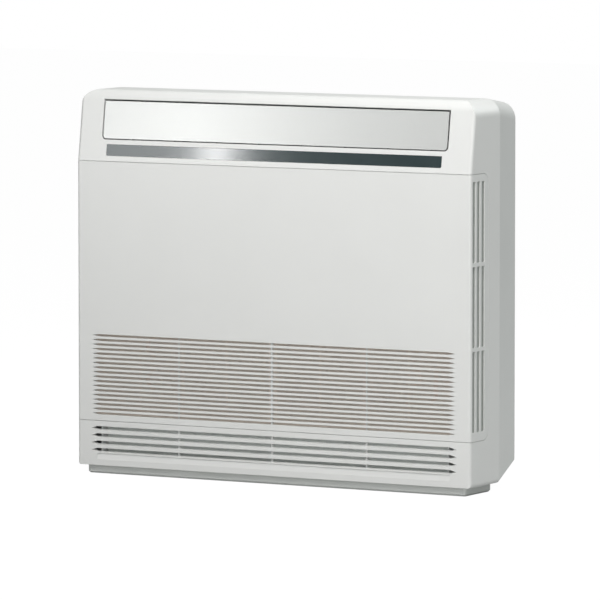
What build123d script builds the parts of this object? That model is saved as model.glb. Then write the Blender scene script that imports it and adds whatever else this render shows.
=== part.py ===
"""Floor console air conditioner, indoor unit.

X runs to the right, Y to the back and Z up, in millimetres. The origin is the
middle of the footprint, on the floor. The front face looks along -Y.
"""
from build123d import *
from math import atan2, cos, radians, sin, tan
import os

os.makedirs("parts", exist_ok=True)

# Overall size of the unit
width = 720.0
height = 620.0
depth = 199.0
front_y = -depth / 2
rear_y = depth / 2

# Clearances
seat_gap = 0.3
running = 0.05
weld_gap = 0.1

# Cabinet moulding
skin = 2.8
plinth = 14.0
corner = 27.0
foot_corner = 6.0
crown = 19.0
edge = 5.0
bend_y = front_y + 95.5
rear_inset = 27.5
rear_lift = 22.0
rear_fall = 11.0
lip_wall = 2.0
lip_reach = 6.0
panel_wall = skin - seat_gap

# Seams round the front panel
cap_height = 114.0
seam_high = height - cap_height
seam_low = plinth + 72.0
seam_gap = 0.7
panel_return = 57.5
panel_back = front_y + panel_return
panel_corner = 15.0

# The cap above the panel leans back by this much over this rise
cap_lean = 14.0
cap_rise = 100.0
lean_angle = atan2(cap_lean, cap_rise)

# Air intake grille in the panel
intake_slots = 18
intake_pitch = 7.43
intake_low = seam_low + 12.2
intake_slot = 3.7
intake_half = width / 2 - 28.0
grille_taper = 12.0
grille_pad = 1.4
rib_spacing = 172.0
rib_width = 2.2
rib_depth = 1.0

# Side intake slots in the panel's returns
side_slot_width = 10.6
side_slot_pitch = 15.0
side_slot_middle = front_y + 25.5
side_slot_low = seam_low + 12.0
side_slot_high = seam_high - 9.0
side_bar = 6.0

# Lower outlet grille in the cabinet
lower_top = seam_low - lip_reach
lower_bottom = plinth + 16.0
outlet_slots = 4
outlet_pitch = 11.8
outlet_low = lower_bottom + 8.4
outlet_slot = 6.4
outlet_half = width / 2 - 25.0
outlet_pad = 2.4
outlet_tilt = 22.0
outlet_lip_height = 10.0
outlet_lip_middle = plinth + 14.6
outlet_lip_depth = 1.6

# Flap in the upper outlet, measured up the leaning face from the upper seam
mouth_low = 35.0
mouth_high = cap_height - 13.8
mouth_half = width / 2 - 43.5
mouth_corner = 7.0
flap_side_gap = 2.6
flap_top_gap = 2.8
flap_low_gap = 1.6
flap_wall = 3.0
flap_pivot_rise = 14.0
flap_pivot_depth = 6.5
flap_rib_depth = 2.0
spine_radius = 4.0
pin_radius = 2.5
pin_reach = 4.0

# Display strip, measured up the leaning face from the upper seam
window_low = 8.8
window_high = 27.2
window_half = mouth_half - 10.5
window_gap = 0.15
window_wall = 2.4
board_wall = 1.6

# Air filters
filter_wall = 4.0
filter_rim = 7.0
mesh_wall = 0.6
filter_low = seam_low + lip_reach + 2.0
filter_high = filter_low + 136.0
filter_travel = 122.0
rail_high = filter_high + filter_travel
rail_wall = 1.5
rail_lip = 4.0

# Drain pan under the heat exchanger
pan_low = lower_top + 17.0
pan_high = pan_low + 25.0
pan_front = front_y + 13.5
pan_wall = 2.0
spigot_radius = 8.0
spigot_bore = 6.0
spigot_length = 24.0

# Heat exchanger
coil_wall = 24.0
coil_half = width / 2 - 135.0
coil_low = pan_high + 4.0
coil_high = height - 170.0
coil_front = front_y + 25.5
coil_back = coil_front + coil_wall
fin_pitch = 7.0
fin_groove = 3.0
fin_groove_depth = 6.0
tube_radius = 3.5
tube_count = 12
tube_pitch = (coil_high - coil_low) / tube_count
end_plate_wall = 1.2
gas_radius = 4.76
liquid_radius = 3.18
pan_half = coil_half + 21.0

# Fan and its casing
casing_low = lower_top + 32.0
casing_high = height - 150.0
casing_wall = 2.0
casing_back = rear_y - 49.5
casing_bend = 90.0
fan_z = (casing_low + casing_high) / 2 + 1.0
fan_radius = (casing_high - casing_low) / 2 - 21.0
fan_inlet = fan_radius - 40.0
fan_wall = 2.0
fan_back = casing_back - 6.0
casing_waist = fan_radius + 30.0
orifice_y = coil_back + 12.0
orifice_wall = 2.0
inlet_gap = 4.0
pan_back = orifice_y - 3.0
fan_front = orifice_y + 8.0
blade_count = 8
blade_wall = 2.4
shaft_radius = 4.0

# Motor
motor_radius = 52.0
motor_front = casing_back - 30.0
motor_flange = 66.0
motor_flange_wall = 3.0
motor_boss = 18.0
motor_back = casing_back + 14.0
motor_screw_circle = 60.0
screw_radius = 2.0
screw_head = 4.5
screw_head_height = 2.5

# Hub cup round the motor and blades round the cup
hub_radius = motor_radius + 8.0
hub_front = motor_front - 12.0
blade_root = hub_radius + 18.0
blade_middle = fan_radius - 42.0
blade_tip = fan_radius - 4.0

# Back frame, wall plate and base
plate_wall = 1.5
frame_front = rear_y - 15.5
frame_back = rear_y - plate_wall - seat_gap
frame_wall = 2.5
plate_half = 230.0
plate_high = height - 100.0
plate_low = plate_high - 220.0
plate_bolt_x = 400.0
plate_bolt_z = 160.0
plate_bolt_radius = 3.0
base_front_inset = 8.0
base_side_inset = 13.0
base_back = bend_y - 1.0
base_rim = 22.0
runner_back = rear_y - 17.5
runner_middle = width / 2 - 90.0
runner_width = 34.0

# Vertical vanes in the upper outlet
vane_count = 8
vane_spacing = 2 * (mouth_half - 43.5) / (vane_count - 1)
vane_wall = 1.6
vane_axis = front_y + 45.5
vane_front = vane_axis - 17.0
vane_back = vane_axis + 10.0
vane_height = 44.0
vane_pin = 2.0
vane_pin_length = 5.0
link_reach = 13.0
link_pin = 1.5
link_pin_height = 3.0
link_wall = 2.0
link_width = 6.0

# Ducts
duct_wall = 2.0
duct_floor = height - 81.0
duct_roof = height - 8.0
throat_y = orifice_y + orifice_wall

# Damper in the lower outlet
damper_axis_y = front_y + 21.5
damper_axis_z = lower_top - 4.5
damper_wall = 2.0
damper_spine = 3.4
damper_pin = 2.0

# Control box in the pocket right of the fan casing
box_right = width / 2 - 38.0
box_left = casing_waist + 32.0
box_low = fan_z - 52.0
box_high = fan_z + 52.0
box_front = rear_y - 71.5
box_wall = 1.2

# Small parts
window_corner = 2.5
board_half = 130.0
board_margin = 1.5
lamp_count = 5
lamp_spacing = 26.0
lamp_width = 5.0
lamp_height = 3.0
filter_columns = 4
filter_rows = 2
filter_rib = 2.5
side_filter_wall = 3.0
side_filter_rows = 6
crest_y = front_y + 37.5
roof_drop = 18.0
duct_knee = 6.0
duct_turn = 36.0
stepper_radius = 12.0
stepper_length = 16.0
casing_shoulder = 18.0
casing_straight = 96.0
post_x = mouth_half - 22.5
post_z = casing_high - casing_low - 58.0
post_radius = 8.0
bell_wall = 1.6
bell_round = 12.0
bell_flange = 16.0
bell_tip = orifice_y + 14.0
blade_sweep = 48.0
shroud_rise = 18.0
shroud_flare = 12.0
blade_setback = 2.0
hub_boss = 10.0
hub_boss_length = 14.0
nut_radius = 7.5
nut_height = 5.0
lower_knee_y = casing_back - 50.0
lower_knee_z = lower_bottom + 32.0
gas_x = coil_half + 35.0
liquid_x = gas_x + 18.0
gas_level = box_low - 24.0
liquid_level = gas_level - 18.0
pipe_back = rear_y - 25.5
pipe_bend = 16.0
nut_drop = 4.0
flare_wall = 4.0
flare_length = 20.0
hook_x = 150.0
hook_z = plate_high - 24.0
hook_width = 30.0
hook_height = 16.0
hook_reach = 6.0
pipe_hole_x = (gas_x + liquid_x) / 2
pipe_hole_z = 96.0
pipe_end = pipe_hole_z - 12.0
pipe_hole_width = 60.0
pipe_hole_height = 44.0
plate_window_pitch = 140.0
plate_window = 100.0
base_chamfer = 3.0
board_width = box_right - box_left - 10.0
board_height = box_high - box_low - 20.0
standoff = 6.0
box_tab = 5.0
box_screw_z = 30.0
terminal_width = board_width - 28.0
terminal_height = 18.0
terminal_depth = 14.0
terminal_rib = 3.0
terminal_count = 5
capacitor_radius = 9.0
board_tall = 20.0
relay_count = 5
relay_width = 11.0
relay_pitch = (board_width - relay_width - 17.0) / (relay_count - 1)
relay_height = 8.0

lean_plane = Plane(
    origin=(0, front_y, seam_high),
    x_dir=(1, 0, 0),
    z_dir=(0, -cos(lean_angle), sin(lean_angle)),
)


def outline_at(inset, y):
    """Half width, bottom and top of the cabinet at depth y, inset from its skin."""
    share = max(0.0, (y - bend_y) / (rear_y - bend_y))
    half = width / 2 - inset - rear_inset * share
    low = plinth + inset + rear_lift * share
    high = height - inset - rear_fall * share
    return half, low, high


def draw_outline(inset, y):
    """The cabinet's rounded outline at depth y."""
    half, low, high = outline_at(inset, y)
    with BuildSketch(Plane.XZ.offset(-y)) as section:
        with Locations((0, (low + high) / 2)):
            Rectangle(2 * half, high - low)
        fillet(section.vertices().group_by(Axis.Y)[-1], corner - inset)
        fillet(section.vertices().group_by(Axis.Y)[0], foot_corner - inset)
    return section.sketch


def cabinet_form(inset, reach):
    """The cabinet's outer form, moved inwards by inset, from the front to reach."""
    face_y = front_y + inset
    high = height - inset
    crest = (face_y + cap_lean * (high - seam_high) / cap_rise, high)
    bend_outline = draw_outline(inset, bend_y)
    with BuildPart() as form:
        extrude(bend_outline, amount=bend_y - face_y, dir=(0, -1, 0))
        loft([bend_outline.face(), draw_outline(inset, reach).face()])
        with BuildSketch(Plane.YZ) as profile:
            with BuildLine():
                Polyline(
                    (face_y, 0),
                    (face_y, seam_high),
                    crest,
                    (reach, high),
                    (reach, 0),
                    close=True,
                )
            make_face()
            fillet(profile.vertices().sort_by_distance(crest)[0], crown - inset)
        extrude(amount=width, both=True, mode=Mode.INTERSECT)
        if inset < edge / 2:
            radius = edge - inset
            for side in (-1, 1):
                corner_x = side * (width / 2 - inset)
                for base_z, climb, way in (
                    (0, seam_high, (0, 0, 1)),
                    (seam_high, height, (0, cap_lean, cap_rise)),
                ):
                    with BuildSketch(Plane.XY.offset(base_z)):
                        with Locations((corner_x, face_y)):
                            Rectangle(2 * radius, 2 * radius)
                        with Locations((corner_x - side * radius, face_y + radius)):
                            Circle(radius, mode=Mode.SUBTRACT)
                        with Locations((corner_x - 2 * side * radius, face_y)):
                            Rectangle(2 * radius, 4 * radius, mode=Mode.SUBTRACT)
                        with Locations((corner_x, face_y + 2 * radius)):
                            Rectangle(4 * radius, 2 * radius, mode=Mode.SUBTRACT)
                    extrude(amount=climb, dir=way, mode=Mode.SUBTRACT)
    return form.part


def draw_bay(grow, back):
    """The front panel's bay seen from the side, grown outwards."""
    low = seam_low - grow
    high = seam_high + grow
    front = front_y - 20
    with BuildSketch(Plane.YZ) as bay:
        with Locations(((front + back + grow) / 2, (low + high) / 2)):
            Rectangle(back + grow - front, high - low)
        fillet(bay.vertices().group_by(Axis.X)[-1], panel_corner + grow)
    return bay.sketch


def draw_pointed_slots(half, slot, pitch, count):
    """A stack of slots, each running out to a point at both ends."""
    with BuildSketch() as slots:
        with GridLocations(0, pitch, 1, count):
            Polygon(
                (-half, 0),
                (-half + grille_taper, -slot / 2),
                (half - grille_taper, -slot / 2),
                (half, 0),
                (half - grille_taper, slot / 2),
                (-half + grille_taper, slot / 2),
                align=None,
            )
    return slots.sketch


def draw_mouth(side, low, high, radius):
    """An upright rectangle on the leaning face with rounded lower corners."""
    with BuildSketch(lean_plane) as mouth:
        with Locations((0, (low + high) / 2)):
            Rectangle(2 * side, high - low)
        fillet(mouth.vertices().group_by(Axis((0, 0, 0), (0, 1, 0)))[0], radius)
    return mouth.sketch


outer_form = cabinet_form(0.0, rear_y)
skin_form = cabinet_form(skin, rear_y + skin)
lip_form = cabinet_form(skin + lip_wall, rear_y)
panel_form = cabinet_form(panel_wall, rear_y)
seat_form = cabinet_form(skin + seat_gap, rear_y)

# Lips behind the edges of the panel's bay
with BuildPart() as bay_lips:
    add(skin_form)
    add(lip_form, mode=Mode.SUBTRACT)
    extrude(draw_bay(lip_reach, panel_back), amount=width, both=True, mode=Mode.INTERSECT)
    extrude(draw_bay(-lip_reach, panel_back), amount=width, both=True, mode=Mode.SUBTRACT)

# Cabinet: cap, side strips, bottom cover and tapered back in one moulding
outlet_middle = outlet_low + outlet_pitch * (outlet_slots - 1) / 2
outlet_plane = Plane(
    origin=(0, front_y, outlet_middle),
    x_dir=(1, 0, 0),
    z_dir=(0, -cos(radians(outlet_tilt)), -sin(radians(outlet_tilt))),
)
pad_low = outlet_lip_middle - outlet_lip_height / 2 - 1
pad_high = seam_low - lip_reach
pad_half = outlet_half + 4
rib_low = outlet_low - outlet_slot
rib_high = outlet_low + outlet_pitch * (outlet_slots - 1) + outlet_slot / 2

with BuildPart() as cabinet:
    add(outer_form)
    add(skin_form, mode=Mode.SUBTRACT)
    extrude(draw_bay(0.0, panel_back), amount=width, both=True, mode=Mode.SUBTRACT)
    add(bay_lips.part)
    mouth_sketch = draw_mouth(mouth_half, mouth_low, mouth_high, mouth_corner)
    extrude(mouth_sketch, amount=2 * skin, both=True, mode=Mode.SUBTRACT)
    window_sketch = draw_mouth(
        window_half + window_gap, window_low - window_gap, window_high + window_gap, window_corner
    )
    extrude(window_sketch, amount=2 * skin, both=True, mode=Mode.SUBTRACT)
    with Locations((0, front_y + skin + outlet_pad / 2 - 0.1, (pad_low + pad_high) / 2)):
        Box(2 * pad_half, outlet_pad + 0.2, pad_high - pad_low)
    for number in range(outlet_slots):
        slot_z = outlet_low + outlet_pitch * number
        slot_plane = Plane(
            origin=(0, front_y, slot_z), x_dir=(1, 0, 0), z_dir=outlet_plane.z_dir
        )
        with BuildSketch(slot_plane):
            add(draw_pointed_slots(outlet_half, outlet_slot, 1, 1))
        extrude(amount=2 * (skin + outlet_pad), both=True, mode=Mode.SUBTRACT)
    with BuildSketch(Plane.YZ):
        with BuildLine():
            Polyline(
                (front_y - 1, outlet_lip_middle - outlet_lip_height / 2),
                (front_y, outlet_lip_middle - outlet_lip_height / 2),
                (front_y + outlet_lip_depth, outlet_lip_middle + outlet_lip_height / 2),
                (front_y - 1, outlet_lip_middle + outlet_lip_height / 2),
                close=True,
            )
        make_face()
    extrude(amount=outlet_half - grille_taper, both=True, mode=Mode.SUBTRACT)
    with Locations((0, front_y + skin + outlet_pad / 2 + 0.6, (rib_low + rib_high) / 2)):
        with GridLocations(rib_spacing, 1, 3, 1):
            Box(rib_width, outlet_pad + 1.2, rib_high - rib_low)

cabinet.part.label = "cabinet"
export_step(cabinet.part, "parts/cabinet.step")

# Front panel with the intake grille, side slots and filter rails
panel_inner_y = front_y + panel_wall
pad_back_y = panel_inner_y + grille_pad
grille_middle = intake_low + intake_pitch * (intake_slots - 1) / 2
grille_height = intake_pitch * intake_slots
filter_front = pad_back_y + rib_depth + seat_gap
filter_back = filter_front + filter_wall
rail_back = filter_back + seat_gap + rail_wall
filter_out = intake_half - 2.0
filter_in = rail_wall + seat_gap
shelf_high = filter_low - seat_gap
window_edges = [
    side_slot_low,
    side_slot_low + (side_slot_high - side_slot_low) / 3,
    side_slot_low + 2 * (side_slot_high - side_slot_low) / 3,
    side_slot_high,
]

with BuildPart() as front_panel:
    add(outer_form)
    add(panel_form, mode=Mode.SUBTRACT)
    extrude(draw_bay(-seam_gap, panel_back), amount=width, both=True, mode=Mode.INTERSECT)
    with Locations((0, panel_inner_y + grille_pad / 2 - 0.1, grille_middle)):
        Box(2 * intake_half + 4, grille_pad + 0.2, grille_height)
    with BuildSketch(Plane.XZ.offset(-front_y)):
        with Locations((0, grille_middle)):
            add(draw_pointed_slots(intake_half, intake_slot, intake_pitch, intake_slots))
    extrude(amount=panel_wall + grille_pad + 1, both=True, mode=Mode.SUBTRACT)
    with BuildSketch(Plane.YZ):
        for low, high in zip(window_edges[:-1], window_edges[1:]):
            with Locations((side_slot_middle, (low + high) / 2)):
                with GridLocations(side_slot_pitch, 1, 3, 1):
                    RectangleRounded(side_slot_width, high - low - side_bar, 1.5)
    extrude(amount=width, both=True, mode=Mode.SUBTRACT)
    with Locations((0, pad_back_y + rib_depth / 2 - 0.2, grille_middle)):
        with GridLocations(rib_spacing, 1, 3, 1):
            Box(rib_width, rib_depth + 0.4, grille_height)
    rail_low = seam_low + lip_reach + seat_gap
    with BuildSketch(Plane.XY.offset(rail_low)):
        for side in (-1, 1):
            web_x = side * (filter_out + seat_gap + rail_wall / 2)
            with Locations((web_x, (panel_inner_y + rail_back) / 2 - 0.1)):
                Rectangle(rail_wall, rail_back - panel_inner_y + 0.2)
            lip_x = side * (filter_out + seat_gap + rail_wall - rail_lip / 2)
            with Locations((lip_x, rail_back - rail_wall / 2)):
                Rectangle(rail_lip, rail_wall)
        with Locations((0, (panel_inner_y + rail_back) / 2 - 0.1)):
            Rectangle(2 * rail_wall, rail_back - panel_inner_y + 0.2)
        with Locations((0, rail_back - rail_wall / 2)):
            Rectangle(2 * rail_lip, rail_wall)
    extrude(amount=rail_high - rail_low)
    shelf_half = filter_out + seat_gap + rail_wall
    with Locations((0, (panel_inner_y + rail_back) / 2 - 0.1, (rail_low + shelf_high) / 2)):
        Box(2 * shelf_half, rail_back - panel_inner_y + 0.2, shelf_high - rail_low)

front_panel.part.label = "front_panel"
export_step(front_panel.part, "parts/front_panel.step")

# Front filters: a ribbed frame with a mesh laid in its front
filter_width = filter_out - filter_in
filter_height = filter_high - filter_low
for side, name in ((-1, "left"), (1, "right")):
    filter_x = side * (filter_in + filter_out) / 2
    filter_z = (filter_low + filter_high) / 2
    mesh_margin = filter_rim / 2
    with BuildPart() as filter_frame:
        with Locations((filter_x, (filter_front + filter_back) / 2, filter_z)):
            Box(filter_width, filter_wall, filter_height)
        with Locations((filter_x, filter_front + mesh_wall / 2, filter_z)):
            Box(
                filter_width - 2 * mesh_margin, mesh_wall, filter_height - 2 * mesh_margin,
                mode=Mode.SUBTRACT,
            )
        with BuildSketch(Plane.XZ.offset(-filter_back)):
            with Locations((filter_x, filter_z)):
                with GridLocations(
                    (filter_width - filter_rim) / filter_columns,
                    (filter_height - filter_rim) / filter_rows,
                    filter_columns,
                    filter_rows,
                ):
                    Rectangle(
                        (filter_width - filter_rim) / filter_columns - filter_rib,
                        (filter_height - filter_rim) / filter_rows - filter_rib,
                    )
        extrude(amount=filter_wall, mode=Mode.SUBTRACT)
    filter_frame.part.label = f"filter_frame_{name}"
    export_step(filter_frame.part, f"parts/filter_frame_{name}.step")

    with BuildPart() as filter_mesh:
        with Locations((filter_x, filter_front + mesh_wall / 2, filter_z)):
            Box(
                filter_width - 2 * mesh_margin - seat_gap,
                mesh_wall,
                filter_height - 2 * mesh_margin - seat_gap,
            )
    filter_mesh.part.label = f"filter_mesh_{name}"
    export_step(filter_mesh.part, f"parts/filter_mesh_{name}.step")

# Side filters clipped inside the panel's returns
for side, name in ((-1, "left"), (1, "right")):
    side_out = width / 2 - skin
    side_filter_length = 3 * side_slot_pitch - filter_rib
    with BuildPart() as side_filter:
        with Locations((
            side * (side_out - side_filter_wall / 2),
            side_slot_middle,
            (side_slot_low + side_slot_high) / 2,
        )):
            Box(side_filter_wall, side_filter_length, side_slot_high - side_slot_low)
        with BuildSketch(Plane.YZ):
            with Locations((side_slot_middle, (side_slot_low + side_slot_high) / 2)):
                with GridLocations(
                    1, (side_slot_high - side_slot_low - filter_rim) / side_filter_rows,
                    1, side_filter_rows,
                ):
                    Rectangle(
                        side_filter_length - 2 * filter_rib,
                        (side_slot_high - side_slot_low - filter_rim) / side_filter_rows - filter_rib,
                    )
        extrude(amount=side * (side_out - mesh_wall), mode=Mode.SUBTRACT)
    side_filter.part.label = f"side_filter_{name}"
    export_step(side_filter.part, f"parts/side_filter_{name}.step")

# Display window and the board behind it
with BuildPart() as display_window:
    extrude(
        draw_mouth(window_half, window_low, window_high, window_corner - window_gap),
        amount=-window_wall,
    )

display_window.part.label = "display_window"
export_step(display_window.part, "parts/display_window.step")

window_middle = (window_low + window_high) / 2
board_front = skin + seat_gap
with BuildPart() as display_board:
    with BuildSketch(lean_plane.offset(-board_front)):
        with Locations((0, window_middle)):
            Rectangle(2 * board_half, window_high - window_low + 2 * board_margin)
    extrude(amount=-board_wall)
    with BuildSketch(lean_plane.offset(-board_front)):
        with Locations((0, window_middle)):
            with GridLocations(lamp_spacing, 1, lamp_count, 1):
                Rectangle(lamp_width, lamp_height)
    extrude(amount=board_front - window_wall - seat_gap)

display_board.part.label = "display_board"
export_step(display_board.part, "parts/display_board.step")

# Flap: a flat blade on a spine with a pin at each end
flap_low = mouth_low + flap_low_gap
flap_high = mouth_high - flap_top_gap
flap_half = mouth_half - flap_side_gap
flap_pivot = lean_plane.from_local_coords(Vector(0, flap_low + flap_pivot_rise, -flap_pivot_depth))
flap_axis_plane = Plane(origin=flap_pivot, x_dir=lean_plane.z_dir, z_dir=(1, 0, 0))
with BuildPart() as upper_flap:
    extrude(draw_mouth(flap_half, flap_low, flap_high, mouth_corner - flap_low_gap), amount=-flap_wall)
    with BuildSketch(flap_axis_plane):
        Circle(spine_radius)
        with Locations(((flap_pivot_depth - flap_wall / 2) / 2, 0)):
            Rectangle(flap_pivot_depth - flap_wall / 2, spine_radius)
    extrude(amount=flap_half, both=True)
    with BuildSketch(flap_axis_plane):
        Circle(pin_radius)
    extrude(amount=mouth_half + duct_wall + pin_reach, both=True)
    with BuildSketch(lean_plane.offset(-flap_wall + 0.2)):
        with Locations((0, (flap_low + flap_pivot_rise + flap_high) / 2)):
            with GridLocations(flap_half / 4, 1, 7, 1):
                Rectangle(flap_wall / 2, flap_high - flap_low - flap_pivot_rise - 6)
    extrude(amount=-flap_rib_depth - 0.2)

upper_flap.part.label = "upper_flap"
export_step(upper_flap.part, "parts/upper_flap.step")


def draw_upper_air(grow):
    """The upper duct's air path from the casing to the mouth, seen from the side."""
    with BuildSketch(Plane.YZ) as air:
        with BuildLine():
            Polyline(
                (front_y - 10, duct_floor),
                (throat_y, duct_floor),
                (throat_y, casing_high - 10),
                (casing_back, casing_high - 10),
                (casing_back, duct_roof),
                (crest_y, duct_roof),
                (front_y - 10, duct_roof - roof_drop),
                close=True,
            )
        make_face()
        knee = air.vertices().sort_by_distance((throat_y, duct_floor))[0]
        fillet(knee, duct_knee)
        back = air.vertices().sort_by_distance((casing_back, duct_roof))[0]
        fillet(back, duct_turn)
        if grow:
            offset(amount=grow, kind=Kind.INTERSECTION)
    return air.sketch


# Upper duct, from the fan casing to the mouth behind the flap
duct_half = mouth_half + duct_wall
with BuildPart() as upper_duct:
    extrude(draw_upper_air(duct_wall), amount=duct_half, both=True)
    extrude(draw_upper_air(0), amount=mouth_half, both=True, mode=Mode.SUBTRACT)
    with Locations((0, 0, casing_high + seat_gap - height / 2)):
        Box(width, 2 * depth, height, mode=Mode.SUBTRACT)
    add(seat_form, mode=Mode.INTERSECT)
    with BuildSketch(flap_axis_plane):
        Circle(pin_radius + running)
    extrude(amount=width, both=True, mode=Mode.SUBTRACT)
    with BuildSketch(Plane.XY.offset(duct_floor - duct_wall)):
        with Locations((0, vane_axis)):
            with GridLocations(vane_spacing, 1, vane_count, 1):
                Circle(vane_pin + running)
    extrude(amount=duct_wall, mode=Mode.SUBTRACT)

upper_duct.part.label = "upper_duct"
export_step(upper_duct.part, "parts/upper_duct.step")

# Vertical vanes, each turning on a pin in the duct's floor
vane_low = duct_floor + seat_gap
vane_high = vane_low + vane_height
for number in range(vane_count):
    vane_x = (number - (vane_count - 1) / 2) * vane_spacing
    with BuildPart() as vane:
        with BuildSketch(Plane.YZ.offset(vane_x)) as blade:
            with BuildLine():
                Polyline(
                    (vane_front, vane_low),
                    (vane_back, vane_low),
                    (vane_back, vane_high - vane_height / 2),
                    (vane_axis, vane_high),
                    (vane_front, vane_high),
                    close=True,
                )
            make_face()
            fillet(blade.vertices().sort_by(Axis.Y)[-1], 3)
        extrude(amount=vane_wall / 2, both=True)
        with BuildSketch(Plane.XY.offset(vane_low)):
            with Locations((vane_x, vane_axis)):
                Circle(vane_pin)
        extrude(amount=-vane_pin_length)
        with BuildSketch(Plane.XY.offset(vane_low)):
            with Locations((vane_x, vane_axis)):
                Circle(1.6 * vane_pin)
        extrude(amount=vane_pin)
        with BuildSketch(Plane.XY.offset(vane_high)):
            with Locations((vane_x, vane_axis - link_reach)):
                Circle(link_pin)
        extrude(amount=link_pin_height)
        with BuildSketch(Plane.XY.offset(vane_high - link_pin_height)):
            with Locations((vane_x, vane_axis - link_reach)):
                Circle(1.6 * link_pin)
        extrude(amount=link_pin_height)
    vane.part.label = f"vane_{number + 1}"
    export_step(vane.part, f"parts/vane_{number + 1}.step")

# Link bar over the vanes
with BuildPart() as vane_link:
    with BuildSketch(Plane.XY.offset(vane_high + seat_gap)):
        with Locations((0, vane_axis - link_reach)):
            SlotOverall((vane_count - 1) * vane_spacing + 2 * link_width, link_width)
            with GridLocations(vane_spacing, 1, vane_count, 1):
                Circle(link_pin + running, mode=Mode.SUBTRACT)
    extrude(amount=link_wall)

vane_link.part.label = "vane_link"
export_step(vane_link.part, "parts/vane_link.step")

# Vane motor under the first vane
first_vane_x = -(vane_count - 1) / 2 * vane_spacing
motor_top = duct_floor - duct_wall - seat_gap
with BuildPart() as vane_motor:
    with BuildSketch(Plane.XY.offset(motor_top)):
        with Locations((first_vane_x, vane_axis)):
            Circle(stepper_radius)
            Rectangle(2 * stepper_radius + 12, 8)
    extrude(amount=-1.2)
    with BuildSketch(Plane.XY.offset(motor_top)):
        with Locations((first_vane_x, vane_axis)):
            Circle(stepper_radius)
    extrude(amount=-stepper_length)
    with BuildSketch(Plane.XY.offset(motor_top)):
        with Locations((first_vane_x, vane_axis)):
            Circle(vane_pin + running)
    extrude(amount=-vane_pin_length, mode=Mode.SUBTRACT)

vane_motor.part.label = "vane_motor"
export_step(vane_motor.part, "parts/vane_motor.step")

# Flap motor on the right end of the upper duct
stepper_offset = stepper_radius - flap_pivot_depth + skin + 2 * seat_gap
with BuildPart() as flap_motor:
    with BuildSketch(flap_axis_plane.offset(duct_half + seat_gap)):
        with Locations((-stepper_offset, 0)):
            Circle(stepper_radius)
        Circle(flap_pivot_depth - skin - seat_gap)
        with Locations((-stepper_offset / 2, 0)):
            Rectangle(stepper_offset, 2 * (flap_pivot_depth - skin - seat_gap))
        Circle(pin_radius + running, mode=Mode.SUBTRACT)
    extrude(amount=pin_reach)
    with BuildSketch(flap_axis_plane.offset(duct_half + seat_gap + pin_reach)):
        with Locations((-stepper_offset, 0)):
            Circle(stepper_radius)
    extrude(amount=stepper_length - pin_reach)

flap_motor.part.label = "flap_motor"
export_step(flap_motor.part, "parts/flap_motor.step")


def draw_casing(grow):
    """The fan casing's air path seen from the front, waisted round the fan."""
    with BuildSketch(Plane.XZ) as air:
        with BuildLine():
            Polyline(
                (mouth_half, casing_high + 10),
                (mouth_half, casing_high - casing_shoulder),
                (casing_waist, fan_z + casing_straight / 2),
                (casing_waist, fan_z - casing_straight / 2),
                (mouth_half, casing_low + casing_shoulder),
                (mouth_half, casing_low - 10),
                (-mouth_half, casing_low - 10),
                (-mouth_half, casing_low + casing_shoulder),
                (-casing_waist, fan_z - casing_straight / 2),
                (-casing_waist, fan_z + casing_straight / 2),
                (-mouth_half, casing_high - casing_shoulder),
                (-mouth_half, casing_high + 10),
                close=True,
            )
        make_face()
        waist = air.vertices().filter_by(lambda v: abs(abs(v.X) - casing_waist) < 0.1)
        slope_rise = casing_high - casing_shoulder - fan_z - casing_straight / 2
        turn = atan2(mouth_half - casing_waist, slope_rise)
        fillet(waist, min(casing_bend, (casing_straight / 2 - seat_gap) / tan(turn / 2)))
        if grow:
            offset(amount=grow, kind=Kind.INTERSECTION)
    return air.sketch


# Fan casing: back wall and waisted side walls, open at top and bottom
casing_front = throat_y + seat_gap
casing_rear = casing_back + casing_wall
frame_inner = frame_back - frame_wall
with BuildPart() as fan_casing:
    extrude(draw_casing(casing_wall), amount=casing_rear, dir=(0, 1, 0))
    extrude(draw_casing(casing_wall), amount=-casing_front, dir=(0, -1, 0))
    extrude(draw_casing(0), amount=casing_back, dir=(0, 1, 0), mode=Mode.SUBTRACT)
    extrude(draw_casing(0), amount=depth, dir=(0, -1, 0), mode=Mode.SUBTRACT)
    for low, high in ((0, casing_low), (casing_high, height)):
        with Locations((0, 0, (low + high) / 2)):
            Box(width, depth, high - low, mode=Mode.SUBTRACT)
    with BuildSketch(Plane.XZ.offset(-casing_rear)):
        with Locations((0, (casing_low + casing_high) / 2)):
            with GridLocations(2 * post_x, post_z, 2, 2):
                Circle(post_radius)
    extrude(amount=casing_rear - frame_inner + seat_gap)
    with BuildSketch(Plane.XZ.offset(-casing_back)):
        with Locations((0, fan_z)):
            Circle(motor_radius + 2)
            with PolarLocations(motor_screw_circle, 4, start_angle=45):
                Circle(screw_radius + 0.2)
        with Locations((0, (casing_low + casing_high) / 2)):
            with GridLocations(2 * post_x, post_z, 2, 2):
                Circle(screw_radius + 0.2)
    extrude(amount=-depth, mode=Mode.SUBTRACT)

fan_casing.part.label = "fan_casing"
export_step(fan_casing.part, "parts/fan_casing.step")

# Orifice plate closing the casing's front, with the bell mouth in it
bell_throat = fan_inlet - inlet_gap - bell_wall
with BuildPart() as orifice_plate:
    extrude(draw_casing(casing_wall), amount=-orifice_y, dir=(0, -1, 0))
    with Locations((0, depth / 2 + throat_y, 0)):
        Box(2 * width, depth, 4 * height, mode=Mode.SUBTRACT)
    for low, high in ((0, casing_low), (casing_high, height)):
        with Locations((0, 0, (low + high) / 2)):
            Box(width, depth, high - low, mode=Mode.SUBTRACT)
    with BuildSketch(Plane.XZ):
        with Locations((0, fan_z)):
            Circle(bell_throat + bell_wall + bell_round + seat_gap)
    extrude(amount=depth, both=True, mode=Mode.SUBTRACT)

orifice_plate.part.label = "orifice_plate"
export_step(orifice_plate.part, "parts/orifice_plate.step")

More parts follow.
